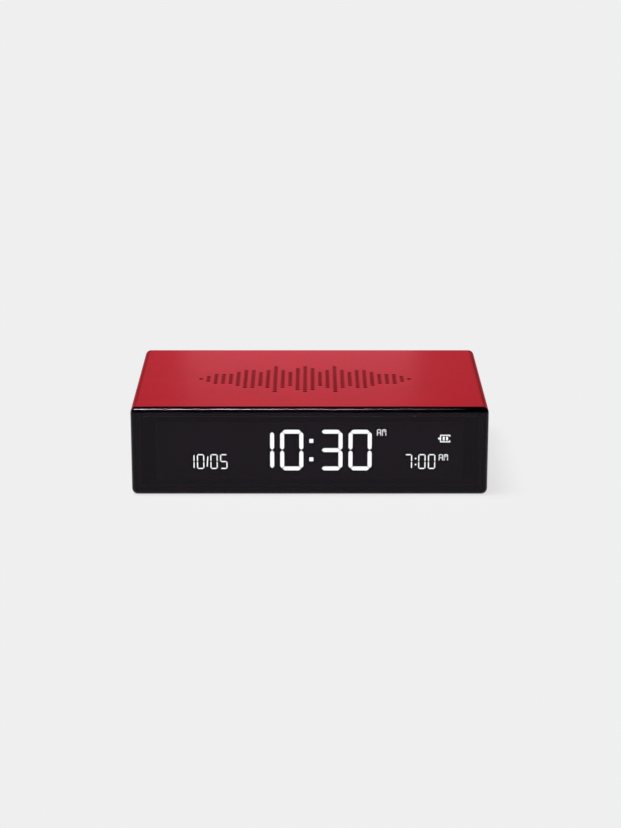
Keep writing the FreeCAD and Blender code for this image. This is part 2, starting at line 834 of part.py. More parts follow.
def make_display_ribbon():
    """The flat cable from the glass's lower edge, back through the holder and up to the main board."""
    low = value(MIDDLE + " - glass_tall / 2 + ribbon_rise")
    top = value(BOARD_TOP + " + ribbon_land")
    points = [
        FreeCAD.Vector(0, value(GUIDE_FRONT + " + ribbon_thick"), low),
        FreeCAD.Vector(0, value("frame_front - ribbon_dip"), low),
        FreeCAD.Vector(0, value("frame_front + ribbon_turn"), top),
        FreeCAD.Vector(0, value("ribbon_end - board_half"), top),
    ]
    route = Part.Wire([edge.toShape() for edge in tangent_route(points)])
    side = Part.Face(route.makeOffset2D(value("ribbon_thick / 2")))
    ribbon = doc.addObject("Part::Feature", "display_ribbon")
    ribbon.Shape = side.extrude(FreeCAD.Vector(value("ribbon_wide"), 0, 0))
    return keep(place(ribbon, ("ribbon_x - ribbon_wide / 2", 0, 0)))


def tangent_route(points):
    """Straight runs through the points, joined by tangent arcs."""
    edges = []
    here = points[0]
    for before, corner, after in zip(points, points[1:], points[2:]):
        inward = before.sub(corner)
        outward = after.sub(corner)
        room = BEND_SHARE * min(inward.Length, outward.Length)
        inward.normalize()
        outward.normalize()
        start = corner + inward * room
        end = corner + outward * room
        bisector = inward + outward
        bisector.normalize()
        half_angle = inward.getAngle(outward) / 2
        radius = room * math.tan(half_angle)
        middle = corner + bisector * (radius / math.sin(half_angle) - radius)
        edges.append(Part.LineSegment(here, start))
        edges.append(Part.Arc(start, middle, end))
        here = end
    edges.append(Part.LineSegment(here, points[-1]))
    return edges


# ---------------------------------------------------------------- frames

def make_lower_frame():
    long = "(frame_back - frame_front)"
    floor = block("frame_floor_plate", ("frame_wide", long, "frame_floor"),
                  ("-frame_wide / 2", "frame_front", "frame_base"))
    front = block("frame_front_wall", ("frame_wide", "frame_floor", "frame_top - frame_base"),
                  ("-frame_wide / 2", "frame_front", "frame_base"))
    solids = [floor, front]
    through = "frame_floor + 2 * over"
    holes = [
        block("ribbon_gate", ("ribbon_slot_wide", through, "ribbon_gate_tall"),
              ("ribbon_x - ribbon_slot_wide / 2", "frame_front - over", FLOOR_TOP)),
        block("sound_gate", ("sound_gate_long", "line_wide", through),
              ("-mesh_long / 2", "-line_wide / 2", "frame_base - over")),
        rod("spring_gate", "spring_gate", through, ("spring_x", "spring_y", "frame_base - over")),
        rod("strap_pilot", "pilot_radius", through, (strap_screw_x(), "strap_y", "frame_base - over")),
    ]
    for side in (1, -1):
        edge = "frame_wide / 2 - frame_floor" if side > 0 else "-frame_wide / 2"
        solids.append(block("frame_side", ("frame_floor", long, "frame_top - frame_base"),
                            (edge, "frame_front", "frame_base")))
        for y in ("pillar_front", "pillar_back"):
            x = "pillar_x * %d" % side
            solids.append(rod("pillar", "boss_radius", "frame_top - frame_base", (x, y, "frame_base")))
            holes.append(rod("pillar_pilot", "pilot_radius", "pillar_pilot_long + over",
                             (x, y, "frame_top - pillar_pilot_long")))
        for level in ("rear_boss_low", "rear_boss_high"):
            x = "rear_boss_x * %d" % side
            solids.append(rod("rear_boss", "rear_boss_radius", "rear_boss_long",
                              (x, "frame_back - rear_boss_long", level), "y"))
            holes.append(rod("rear_pilot", "pilot_radius + pilot_slip", "rear_boss_long",
                             (x, "frame_back - rear_boss_long + boss_floor", level), "y"))
        for level in ("holder_post_z", "height - holder_post_z"):
            holes.append(rod("holder_hole", "screw_radius + screw_slip", through,
                             ("holder_post_x * %d" % side, "frame_front - over", level), "y"))
    for x in ("board_left + board_hole_x", "board_right - board_hole_x"):
        for y in ("board_hole_x - board_half", "board_half - board_hole_x"):
            solids.append(rod("board_boss", "boss_radius", "board_low - frame_base", (x, y, "frame_base")))
            holes.append(rod("board_pilot", "pilot_radius", "board_low - frame_base",
                             (x, y, "frame_base + boss_floor")))
    return keep(carve("lower_frame", join("lower_frame_blank", solids), holes))


def make_upper_frame():
    long = "(frame_back - frame_front)"
    plate = block("lid_plate", ("frame_wide", long, "lid_thick"),
                  ("-frame_wide / 2", "frame_front", "frame_top"))
    through = "lid_thick + 2 * over"
    holes = [block("lid_window", ("lid_window_wide", "lid_window_long", through),
                   ("grille_shift - lid_window_wide / 2", "-lid_window_long / 2", "frame_top - over"))]
    for side in (1, -1):
        for y in ("pillar_front", "pillar_back"):
            holes.append(rod("lid_hole", "screw_radius + screw_slip", through,
                             ("pillar_x * %d" % side, y, "frame_top - over")))
    keep(carve("upper_frame", plate, holes))
    places = [("pillar_x * %d" % side, y, "frame_top + lid_thick + head_tall")
              for side in (1, -1) for y in ("pillar_front", "pillar_back")]
    screws("frame_screws", places, "z", "lid_thick + lid_bite")
    pads = []
    for side in (1, -1):
        left = "pad_far - pad_wide" if side > 0 else "-pad_far"
        pads.append(block("foam_pad", ("pad_wide", "pad_long", "height - wall - frame_top - lid_thick"),
                          (left, "pad_front", "frame_top + lid_thick")))
    keep(group("foam_pads", pads))


def make_meshes():
    """Dust mesh stuck inside the sleeve behind each set of sound holes."""
    keep(block("mesh_upper", ("mesh_long", "mesh_wide", "mesh_thick"),
               ("grille_shift - mesh_long / 2", "grille_back - mesh_wide / 2", "height - wall - mesh_thick")))
    keep(block("mesh_lower", ("mesh_long", "line_wide", "mesh_thick"),
               ("-mesh_long / 2", "-line_wide / 2", "wall")))


# ---------------------------------------------------------------- main board

def make_main_board():
    plate = block("main_board_plate", ("board_right - board_left", "2 * board_half", "board_thick"),
                  ("board_left", "-board_half", "board_low"))
    through = "board_thick + 2 * over"
    holes = [rod("spring_hole", "spring_hole", through, ("spring_x", "spring_y", "board_low - over"))]
    places = []
    for x in ("board_left + board_hole_x", "board_right - board_hole_x"):
        for y in ("board_hole_x - board_half", "board_half - board_hole_x"):
            holes.append(rod("board_hole", "screw_radius + screw_slip", through, (x, y, "board_low - over")))
            places.append((x, y, BOARD_TOP + " + head_tall"))
    keep(carve("main_board", plate, holes))
    screws("board_screws", places, "z", "board_thick + board_bite")


def on_board(name, size, x, y, above="0"):
    """A block standing on the main board with its middle at x, y."""
    return block(name, size, ("%s - (%s) / 2" % (x, size[0]), "%s - (%s) / 2" % (y, size[1]),
                              "%s + %s" % (BOARD_TOP, above)))


def make_chips():
    keep(on_board("clock_chip", ("chip_side", "chip_side", "chip_thick"), "chip_x", "chip_y", "chip_lift"))
    legs = []
    for step in range(-LEG_STEPS, LEG_STEPS + 1):
        for side in (1, -1):
            legs.append(on_board("leg", ("leg_wide", "leg_long", "leg_tall"),
                                 "chip_x + leg_pitch * %d" % step, "chip_y + leg_out * %d" % side))
            legs.append(on_board("leg", ("leg_long", "leg_wide", "leg_tall"), "chip_x + leg_out * %d" % side,
                                 "chip_y + leg_pitch * %d" % step))
    keep(group("chip_legs", legs))
    keep(on_board("charger_chip", ("charger_wide", "charger_long", "charger_tall"), "charger_x", "charger_y"))
    keep(rod("crystal", "crystal_radius", "crystal_long",
             ("crystal_x", "crystal_y", BOARD_TOP + " + crystal_radius"), "x"))
    small = []
    for column in range(PART_COLUMNS):
        for row in range(PART_ROWS):
            small.append(on_board("small_part", ("part_long", "part_wide", "part_tall"),
                                  "part_x + part_pitch_x * %d" % column, "part_y + part_pitch_y * %d" % row))
    keep(group("small_parts", small))
    keep(on_board("ribbon_connector", ("connector_wide", "connector_deep", "connector_tall"), "ribbon_x",
                  "connector_in - board_half"))


def make_buzzer():
    top = BOARD_TOP + " + buzzer_tall"
    shell = rod("buzzer_shell", "buzzer_radius", "buzzer_tall", ("buzzer_x", "buzzer_y", BOARD_TOP))
    room = rod("buzzer_room", "buzzer_radius - buzzer_wall", "buzzer_tall - 2 * buzzer_wall",
               ("buzzer_x", "buzzer_y", BOARD_TOP + " + buzzer_wall"))
    mouth = rod("buzzer_mouth_hole", "buzzer_mouth", "buzzer_wall + over",
                ("buzzer_x", "buzzer_y", top + " - buzzer_wall - over / 2"))
    keep(carve("buzzer_case", shell, [join("buzzer_space", [room, mouth])]))
    disc_radius = "buzzer_radius - buzzer_wall - disc_slip"
    disc = rod("disc", disc_radius, "disc_thick",
               ("buzzer_x", "buzzer_y", BOARD_TOP + " + buzzer_wall + ledge_tall"))
    ledge = rod("ledge", disc_radius, "ledge_tall", ("buzzer_x", "buzzer_y", BOARD_TOP + " + buzzer_wall"))
    ledge_room = rod("ledge_room", disc_radius + " - ledge_wide", "ledge_tall + over",
                     ("buzzer_x", "buzzer_y", BOARD_TOP + " + buzzer_wall - over / 2"))
    keep(disc, "buzzer_disc")
    keep(carve("buzzer_ring", ledge, [ledge_room]))


def make_tilt_sensor():
    """An upright capsule whose loose ball lies on whichever end is down."""
    base = BOARD_TOP
    shell = rod("tilt_shell", "tilt_radius", "tilt_tall", ("tilt_x", "tilt_y", base))
    bore = rod("tilt_bore", "tilt_radius - tilt_wall", "tilt_tall",
               ("tilt_x", "tilt_y", base + " + tilt_floor"))
    keep(carve("tilt_cup", shell, [bore]))
    keep(rod("tilt_cap", "tilt_radius", "tilt_cap_tall", ("tilt_x", "tilt_y", base + " + tilt_tall")))
    ball = doc.addObject("Part::Sphere", "tilt_ball")
    bind(ball, Radius="ball_radius")
    keep(place(ball, ("tilt_x", "tilt_y", base + " + tilt_floor + ball_gap + ball_radius")))


def make_touch_spring():
    """The coil spring that joins the board to the sleeve, so that a touch on the metal is felt."""
    low = "(wall + spring_gap)"
    high = "(board_low - spring_gap)"
    coil = doc.addObject("Part::Helix", "spring_path")
    bind(coil, Pitch="(%s - %s) / spring_turns" % (high, low), Height="%s - %s" % (high, low),
         Radius="spring_radius")
    wire = doc.addObject("Part::Circle", "spring_wire")
    bind(wire, Radius="spring_wire")
    place(wire, ("spring_radius", "0", "0"), "y")
    sweep = doc.addObject("Part::Sweep", "touch_spring")
    sweep.Sections = [wire]
    doc.recompute()
    sweep.Spine = (coil, ["Edge%d" % number for number in range(1, len(coil.Shape.Edges) + 1)])
    sweep.Solid = True
    sweep.Frenet = True
    keep(place(sweep, ("spring_x", "spring_y", low)))


# ---------------------------------------------------------------- battery

def make_battery():
    low = FLOOR_TOP + " + foam_thick"
    cell_y = "-cell_long / 2"
    keep(block("battery_foam", ("cell_wide - 2 * foam_inset", "cell_long - 2 * foam_inset", "foam_thick"),
               ("cell_left + foam_inset", cell_y + " + foam_inset", FLOOR_TOP)))
    pack = block("battery_block", ("cell_wide", "cell_long", "cell_thick"), ("cell_left", cell_y, low))
    doc.recompute()
    rounded = doc.addObject("Part::Fillet", "battery_cell")
    rounded.Base = pack
    bend = value("cell_round")
    rounded.Edges = [(number, bend, bend) for number, edge in enumerate(pack.Shape.Edges, start=1)
                     if abs(edge.BoundBox.YLength - value("cell_long")) < 1e-6]
    keep(rounded)
    top = low + " + cell_thick"
    left, right = "(cell_left - strap_slip - strap_thick)", "(cell_left + cell_wide + strap_slip)"
    strap_y = "strap_y - strap_wide / 2"
    pieces = [
        block("strap_top", ("cell_wide + 2 * strap_slip + 2 * strap_thick", "strap_wide", "strap_thick"),
              (left, strap_y, top)),
        block("strap_left", ("strap_thick", "strap_wide", "foam_thick + cell_thick"),
              (left, strap_y, FLOOR_TOP)),
        block("strap_right", ("strap_thick", "strap_wide", "foam_thick + cell_thick"),
              (right, strap_y, FLOOR_TOP)),
        block("strap_foot_plate", ("strap_foot", "strap_wide", "strap_thick"),
              (right + " + strap_thick", strap_y, FLOOR_TOP)),
    ]
    foot_x = strap_screw_x()
    hole = rod("strap_hole", "screw_radius + screw_slip", "strap_thick + 2 * over",
               (foot_x, "strap_y", FLOOR_TOP + " - over"))
    keep(carve("battery_strap", join("strap_blank", pieces), [hole]))
    screws("strap_screw", [(foot_x, "strap_y", FLOOR_TOP + " + strap_thick + head_tall")], "z",
           "strap_thick + frame_floor")


def strap_screw_x():
    return "(cell_left + cell_wide + strap_slip + strap_thick + strap_screw_in)"


def lead(name, side, points):
    """A round insulated wire along straight runs with tangent bends."""
    route = Part.Wire([edge.toShape() for edge in tangent_route(points)])
    way = points[1].sub(points[0])
    ring = Part.Wire(Part.makeCircle(value("lead_radius"), points[0], way))
    tube = doc.addObject("Part::Feature", name)
    tube.Shape = route.makePipeShell([ring], True, True)
    return keep(place(tube, (0, "lead_apart / 2 * %s" % side, 0)))


def make_leads():
    """Two wires from the cell's front end to a plug on the main board."""
    height = value(FLOOR_TOP + " + foam_thick + cell_thick / 2")
    plug_z = value(BOARD_TOP + " + plug_lift + plug_tall / 2")
    start_x, y = value("cell_left"), value("lead_y")
    points = [
        FreeCAD.Vector(start_x, y, height),
        FreeCAD.Vector(start_x - value("lead_out"), y, height),
        FreeCAD.Vector(start_x - value("lead_drop"), y, plug_z),
        FreeCAD.Vector(value("board_right - lead_end"), y, plug_z),
    ]
    lead("battery_lead_red", "1", points)
    lead("battery_lead_black", "-1", points)
    keep(on_board("battery_socket", ("socket_long", "socket_wide", "socket_tall"),
                  "board_right - socket_in", "lead_y"))
    keep(on_board("battery_plug", ("plug_long", "plug_wide", "plug_tall"),
                  "board_right - plug_in", "lead_y", "plug_lift"))


# ---------------------------------------------------------------- rear cover, keys and socket

def key_x(number):
    return "(key_first - key_pitch * %d)" % number


def make_rear_cover():
    wide = "(width - 2 * wall + 2 * rebate_step - 2 * slip)"
    tall = "(height - 2 * wall + 2 * rebate_step - 2 * slip)"
    body = new_body("cover_plate", (0, COVER_FRONT, MIDDLE))
    outline = sketch_on(body, "cover_outline")
    draw_rounded_rectangle(outline, wide, tall, "corner_radius - rebate_step")
    pad_back(body, outline, "cover_thick")
    rim = sketch_on(body, "cover_rim_outline", offset="-cover_rim_depth")
    rim_wide = "(width - 2 * wall - 2 * slip)"
    rim_tall = "(height - 2 * wall - 2 * slip)"
    draw_rounded_rectangle(rim, rim_wide, rim_tall, "corner_radius / 2")
    draw_rounded_rectangle(rim, rim_wide + " - 2 * cover_rim", rim_tall + " - 2 * cover_rim",
                           "corner_radius / 4")
    pad_back(body, rim, "cover_rim_depth")
    dress(body, "Fillet", "cover_thick", wide, tall, "cover_round")
    for number in range(len(KEYS)):
        window = sketch_on(body, "key_window_%d" % number)
        draw_pill(window, "key_long + 2 * key_gap", "key_tall + 2 * key_gap")
        window.setExpression("AttachmentOffset.Base.x", cell(key_x(number)))
        pocket_back(body, window, "cover_thick")
    port = sketch_on(body, "port_window")
    draw_pill(port, "usb_long + 2 * usb_shell + 2 * usb_gap", "usb_tall + 2 * usb_shell + 2 * usb_gap")
    port.setExpression("AttachmentOffset.Base.x", cell("usb_x"))
    pocket_back(body, port, "cover_thick")
    scoop = sketch_on(body, "port_scoop", offset="cover_thick - scoop_deep")
    draw_pill(scoop, "usb_long + 2 * scoop_wide", "usb_tall + 2 * scoop_wide")
    scoop.setExpression("AttachmentOffset.Base.x", cell("usb_x"))
    pocket_back(body, scoop, "scoop_deep")
    tubes = []
    holes = [rod("pinhole", "pinhole_radius", "cover_thick + 2 * over",
                 ("reset_x", COVER_FRONT + " - over", MIDDLE), "y")]
    for side in (1, -1):
        x = "rear_boss_x * %d" % side
        for level in ("rear_boss_low", "rear_boss_high"):
            tubes.append(rod("cover_tube", "rear_boss_radius", COVER_FRONT + " - frame_back - tube_gap",
                             (x, "frame_back + tube_gap", level), "y"))
            holes.append(rod("cover_bore", "cover_screw_radius + pilot_slip", "bore_long",
                             (x, "frame_back - over", level), "y"))
            sink = doc.addObject("Part::Cone", "cover_sink")
            bind(sink, Radius1="cover_screw_radius + sink_slip", Radius2="cover_head_radius + sink_slip",
                 Height="cover_head_tall")
            holes.append(place(sink, (x, COVER_BACK + " - cover_head_tall", level), "y"))
        for sign in (1, -1):
            at = ("post_x * %d" % side, KEY_BOARD_BACK, "%s + post_z * %d" % (MIDDLE, sign))
            tubes.append(rod("board_post", "post_radius", COVER_FRONT + " - " + KEY_BOARD_BACK, at, "y"))
            holes.append(rod("post_pilot", "pilot_radius", "post_pilot_long",
                             (at[0], KEY_BOARD_BACK + " - over", at[2]), "y"))
    blank = join("cover_blank", [body] + tubes)
    cut = blank
    for number, hole in enumerate(holes):
        cut = carve("cover_cut_%d" % number, cut, [hole])
    keep(cut, "rear_cover")
    places = [("rear_boss_x * %d" % side, COVER_BACK, level)
              for side in (1, -1) for level in ("rear_boss_low", "rear_boss_high")]
    screws("cover_screws", places, "y", "cover_screw_long", "countersunk")


def make_key_board():
    plate = block("key_board_plate", ("key_board_wide", "key_board_thick", "key_board_tall"),
                  ("-key_board_wide / 2", "key_board_front", MIDDLE + " - key_board_tall / 2"))
    through = "key_board_thick + 2 * over"
    holes = []
    places = []
    for side in (1, -1):
        for sign in (1, -1):
            x, z = "post_x * %d" % side, "%s + post_z * %d" % (MIDDLE, sign)
            holes.append(rod("key_board_hole", "screw_radius + screw_slip", through,
                             (x, "key_board_front - over", z), "y"))
            places.append((x, "key_board_front - head_tall", z))
    for number in range(PINS):
        holes.append(rod("pin_hole", "pin_hole", through,
                         (pin_x(number), "key_board_front - over", pin_z()), "y"))
    keep(carve("key_board", plate, holes))
    screws("key_board_screws", places, "-y", "key_board_thick + key_board_bite")


def pin_x(number):
    return "(header_x + pin_pitch * %d)" % number


def pin_z():
    return "(%s + pin_high)" % BOARD_TOP


def make_board_header():
    """The right-angled row of pins that joins the main board to the key board."""
    keep(block("board_header", ("pin_pitch * %d" % PINS, "header_deep", "header_tall"),
               ("header_x - pin_pitch / 2", "board_half - header_deep", BOARD_TOP)))
    pins = []
    for number in range(PINS):
        pins.append(block("pin", ("pin_side", KEY_BOARD_BACK + " + pin_past - board_half", "pin_side"),
                          (pin_x(number) + " - pin_side / 2", "board_half", pin_z() + " - pin_side / 2")))
    keep(group("header_pins", pins))


def make_switches():
    bodies = []
    for number, key in enumerate(KEYS):
        bodies.append(tact_body("switch_body", key_x(number), "switch_side"))
        keep(stem("stem_" + key, key_x(number)))
    keep(group("switch_bodies", bodies))
    keep(tact_body("reset_switch", "reset_x", "reset_side"))
    keep(stem("reset_stem", "reset_x"))


def tact_body(name, x, side):
    shell = block(name + "_shell", (side, "switch_tall", side),
                  ("%s - %s / 2" % (x, side), KEY_BOARD_BACK, "%s - %s / 2" % (MIDDLE, side)))
    bore = rod(name + "_bore", "stem_radius + stem_gap", "switch_tall",
               (x, KEY_BOARD_BACK + " + switch_floor", MIDDLE), "y")
    return carve(name, shell, [bore])


def stem(name, x):
    """The plunger of one switch, free to sink into its body."""
    return rod(name, "stem_radius", "switch_tall - stem_low + stem_proud",
               (x, KEY_BOARD_BACK + " + stem_low", MIDDLE), "y")


def make_key(number, name):
    """A pill-shaped key cap with a flange that stops it leaving the cover and a post to its switch."""
    body = new_body("cap_" + name, (key_x(number), FLANGE_BACK, MIDDLE))
    flange = sketch_on(body, "flange_" + name, offset="-key_flange_thick")
    draw_pill(flange, "key_long + 2 * key_flange", "key_tall + 2 * key_flange")
    pad_back(body, flange, "key_flange_thick")
    cap = sketch_on(body, "pill_" + name)
    draw_pill(cap, "key_long", "key_tall")
    tall = "(key_rest_gap + cover_thick + key_proud)"
    pad_back(body, cap, tall)
    dress(body, "Fillet", tall, "key_long", "key_tall", "key_round")
    stem_end = "(%s + switch_tall + stem_proud)" % KEY_BOARD_BACK
    post = sketch_on(body, "post_" + name, offset="%s - %s" % (stem_end, FLANGE_BACK))
    draw_circle(post, "key_post_radius")
    pad_back(body, post, "%s - key_flange_thick - %s" % (FLANGE_BACK, stem_end))
    keep(carve("key_" + name, body, key_mark(number, name)))


def key_mark(number, name):
    """The sunk symbol on a key: a sign, a clock dial or a bell."""
    x = key_x(number)
    face = "(%s + key_proud - mark_depth)" % COVER_BACK
    deep = "mark_depth + over"

    def bar(wide, tall, shift_x="0", shift_z="0"):
        at = ("%s + %s - (%s) / 2" % (x, shift_x, wide), face, "%s + %s - (%s) / 2" % (MIDDLE, shift_z, tall))
        return block("bar_" + name, (wide, deep, tall), at)

    def disc(radius, shift_z="0", depth=deep):
        return rod("disc_" + name, radius, depth, (x, face, "%s + %s" % (MIDDLE, shift_z)), "y")

    if name == "minus":
        return [bar("sign_long", "sign_stroke")]
    if name == "plus":
        return [join("sign_" + name, [bar("sign_long", "sign_stroke"), bar("sign_stroke", "sign_long")])]
    if name == "time":
        ring = carve("dial_" + name, disc("dial_radius"), [disc("dial_inner", depth=deep + " + over")])
        hand_up = bar("hand_stroke", "hand_tall", shift_z="(hand_tall - hand_stroke / 2) / 2")
        hand_side = bar("hand_wide", "hand_stroke", shift_x="(hand_stroke - hand_wide) / 2")
        return [ring, join("hands_" + name, [hand_up, hand_side])]
    return [join("bell_" + name, [
        disc("bell_radius", "bell_rise"),
        bar("2 * bell_radius", "bell_tall", shift_z="bell_rise - bell_tall / 2"),
        bar("bell_brim", "bell_brim_tall", shift_z="bell_rise - bell_tall"),
        disc("bell_clapper", "bell_rise - bell_tall - bell_clapper"),
    ])]


def make_charging_socket():
    """The standard oval receptacle: a steel shell, and inside it the contact tongue."""
    body = new_body("usb_shell", ("usb_x", KEY_BOARD_BACK, MIDDLE))
    outer = sketch_on(body, "usb_outer")
    draw_pill(outer, "usb_long + 2 * usb_shell", "usb_tall + 2 * usb_shell")
    long = "(%s - usb_sunk - %s)" % (COVER_BACK, KEY_BOARD_BACK)
    pad_back(body, outer, long)
    inner = sketch_on(body, "usb_inner", offset="usb_floor")
    draw_pill(inner, "usb_long", "usb_tall")
    pocket_back(body, inner, long)
    keep(body)
    tongue = ("usb_tongue_wide", long + " - usb_floor - usb_tongue_short", "usb_tongue_thick")
    keep(block("usb_tongue", tongue, ("usb_x - usb_tongue_wide / 2", KEY_BOARD_BACK + " + usb_floor",
                                      MIDDLE + " - usb_tongue_thick / 2")))


# ---------------------------------------------------------------- build, check and write

def build_clock():
    make_body_sleeve()
    make_front_lens()
    make_display_layers()
    make_backlight()
    make_display_holder()
    make_lcd_segments()
    make_display_ribbon()
    make_lower_frame()
    make_upper_frame()
    make_meshes()
    make_main_board()
    make_chips()
    make_buzzer()
    make_tilt_sensor()
    make_touch_spring()
    make_battery()
    make_leads()
    make_rear_cover()
    make_key_board()
    make_board_header()
    make_switches()
    for number, name in enumerate(KEYS):
        make_key(number, name)
    make_charging_socket()
    doc.recompute()


def check_clock():
    for item in doc.Objects:
        if "Invalid" in item.State or "Error" in item.State:
            raise RuntimeError("%s failed: %s" % (item.Name, item.State))
    for item in nodes:
        if item.Shape.isNull() or not item.Shape.isValid() or not item.Shape.Solids:
            raise RuntimeError("%s has no valid solid" % item.Label)


def write_clock():
    os.makedirs("parts", exist_ok=True)
    for item in nodes:
        item.Shape.exportStep("parts/%s.step" % item.Label)
        print("%-20s %2d solid(s) %10.2f mm3" % (item.Label, len(item.Shape.Solids), item.Shape.Volume))


fill_sheet()
build_clock()
check_clock()
write_clock()
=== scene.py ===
import json
import math

import bpy
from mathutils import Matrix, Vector


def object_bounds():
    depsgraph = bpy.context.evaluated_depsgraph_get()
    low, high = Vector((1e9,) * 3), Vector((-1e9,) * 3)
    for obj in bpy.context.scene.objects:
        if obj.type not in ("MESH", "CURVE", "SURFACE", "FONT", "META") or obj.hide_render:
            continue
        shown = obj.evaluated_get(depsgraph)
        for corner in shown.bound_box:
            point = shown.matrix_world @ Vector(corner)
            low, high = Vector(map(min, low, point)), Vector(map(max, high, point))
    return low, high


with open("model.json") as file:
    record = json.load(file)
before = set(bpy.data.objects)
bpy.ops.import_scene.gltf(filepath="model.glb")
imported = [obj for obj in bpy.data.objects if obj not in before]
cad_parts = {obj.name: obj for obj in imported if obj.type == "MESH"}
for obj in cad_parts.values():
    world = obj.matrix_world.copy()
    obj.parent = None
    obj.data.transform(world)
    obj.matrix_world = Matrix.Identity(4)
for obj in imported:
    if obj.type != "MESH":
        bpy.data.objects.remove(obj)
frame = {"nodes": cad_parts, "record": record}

MM = 0.001
cad_low, cad_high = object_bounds()
middle = (cad_low + cad_high) / 2

# sleeve and display
RED = (208, 41, 55)                         # display values
RED_EDGE_TINT = (1.0, 0.48, 0.5, 1.0)       # keeps the metal red at flat angles
LENS_EDGE_TINT = (0.37, 0.31, 0.39, 1.0)    # a weak reflection, as of a treated surface
LENS_INDEX = 1.49
SEGMENT_GLOW = (8.1, 8.9)                   # emission seen through the smoked lens
BLACK_SPECULAR = 0.12
MESH_PITCH = 0.4 * MM

# stage and world
FLOOR_SIDE = 12.0
FLOOR_GAP = 0.02 * MM
FLOOR_GLOW = 0.713
WORLD_STRENGTH = 0.05
SUN_STRENGTH = 4.7
SUN_SPREAD = math.radians(26)
SUN_DIRECTION = Vector((0.24, 0.06, -1.0))

# camera
LENS_LENGTH = 96.41
SENSOR_WIDTH = 36.0
CAMERA_PLACE = (0.32 * MM, -809.4 * MM, 260.8 * MM)
CAMERA_DOWN = 16.652                        # degrees below the horizontal


# ---------------------------------------------------------------- small helpers

def linear(red, green, blue):
    """A colour given in 0-255 display values, as the linear colour the shaders use."""
    def channel(part):
        share = part / 255
        return share / 12.92 if share <= 0.04045 else ((share + 0.055) / 1.055) ** 2.4
    return (channel(red), channel(green), channel(blue), 1.0)


class Shader:
    """A node material around one Principled shader."""

    def __init__(self, name, colour, **settings):
        self.material = bpy.data.materials.new(name)
        self.material.use_nodes = True
        self.nodes = self.material.node_tree.nodes
        self.links = self.material.node_tree.links
        self.base = self.nodes["Principled BSDF"]
        self.base.inputs["Base Color"].default_value = colour
        for label, amount in settings.items():
            self.base.inputs[label.replace("_", " ")].default_value = amount
        self.place = self.nodes.new("ShaderNodeTexCoord").outputs["Object"]

    def noise(self, scale, detail=2.0, roughness=0.5, stretch=(1, 1, 1)):
        """Noise in object space; scale is in features per metre."""
        mapping = self.nodes.new("ShaderNodeMapping")
        mapping.inputs["Scale"].default_value = stretch
        self.links.new(self.place, mapping.inputs["Vector"])
        texture = self.nodes.new("ShaderNodeTexNoise")
        texture.inputs["Scale"].default_value = scale
        texture.inputs["Detail"].default_value = detail
        texture.inputs["Roughness"].default_value = roughness
        self.links.new(mapping.outputs["Vector"], texture.inputs["Vector"])
        return texture.outputs["Fac"]

    def weave(self, pitch):
        """A plain weave: the product of two crossed wave textures."""
        bands = []
        for direction in ("X", "Y"):
            wave = self.nodes.new("ShaderNodeTexWave")
            wave.bands_direction = direction
            wave.inputs["Scale"].default_value = 1 / (pitch * 3.14)
            self.links.new(self.place, wave.inputs["Vector"])
            bands.append(wave.outputs["Fac"])
        product = self.nodes.new("ShaderNodeMath")
        product.operation = "MULTIPLY"
        self.links.new(bands[0], product.inputs[0])
        self.links.new(bands[1], product.inputs[1])
        return product.outputs["Value"]

    def between(self, factor, low, high):
        """Map a 0-1 factor to a range of numbers."""
        spread = self.nodes.new("ShaderNodeMapRange")
        spread.inputs["To Min"].default_value = low
        spread.inputs["To Max"].default_value = high
        self.links.new(factor, spread.inputs["Value"])
        return spread.outputs["Result"]

    def tint(self, factor, low, high):
        """Vary the base colour between two colours."""
        ramp = self.nodes.new("ShaderNodeValToRGB")
        ramp.color_ramp.elements[0].position = 0.3
        ramp.color_ramp.elements[0].color = low
        ramp.color_ramp.elements[1].position = 0.7
        ramp.color_ramp.elements[1].color = high
        self.links.new(factor, ramp.inputs["Fac"])
        self.links.new(ramp.outputs["Color"], self.base.inputs["Base Color"])
        return self

    def rough(self, factor, low, high):
        self.links.new(self.between(factor, low, high), self.base.inputs["Roughness"])
        return self

    def bump(self, height, strength, depth):
        """Fine relief; depth is in metres."""
        bump = self.nodes.new("ShaderNodeBump")
        bump.inputs["Strength"].default_value = strength
        bump.inputs["Distance"].default_value = depth
        self.links.new(height, bump.inputs["Height"])
        self.links.new(bump.outputs["Normal"], self.base.inputs["Normal"])
        return self


def scaled(colour, share):
    return (colour[0] * share, colour[1] * share, colour[2] * share, 1.0)


# ---------------------------------------------------------------- materials

def anodised_red():
    """Bead-blasted aluminium under a clear red anodised layer."""
    red = linear(*RED)
    shader = Shader("anodised_red", red, Metallic=1.0, Roughness=0.4)
    shader.base.inputs["Specular Tint"].default_value = RED_EDGE_TINT
    shader.tint(shader.noise(60, 3), scaled(red, 0.97), scaled(red, 1.03))
    shader.rough(shader.noise(900, 2), 0.36, 0.44)
    return shader.bump(shader.noise(5200, 2, 0.6), 0.25, 0.00003).material


def smoked_lens():
    """Tinted acrylic with a polished face and an anti-glare treatment."""
    shader = Shader("smoked_lens", (0.13, 0.12, 0.13, 1.0), Roughness=0.03, IOR=LENS_INDEX)
    shader.base.inputs["Transmission Weight"].default_value = 1.0
    shader.base.inputs["Specular Tint"].default_value = LENS_EDGE_TINT
    return shader.bump(shader.noise(40, 1), 0.05, 0.00001).material


def lit_segments():
    """The white light that the liquid crystal lets through."""
    shader = Shader("lit_segments", (0.9, 0.92, 1.0, 1.0), Roughness=0.6)
    glow = shader.noise(400, 1)
    shader.base.inputs["Emission Color"].default_value = (0.92, 1.0, 0.93, 1.0)
    shader.links.new(shader.between(glow, *SEGMENT_GLOW), shader.base.inputs["Emission Strength"])
    return shader.material


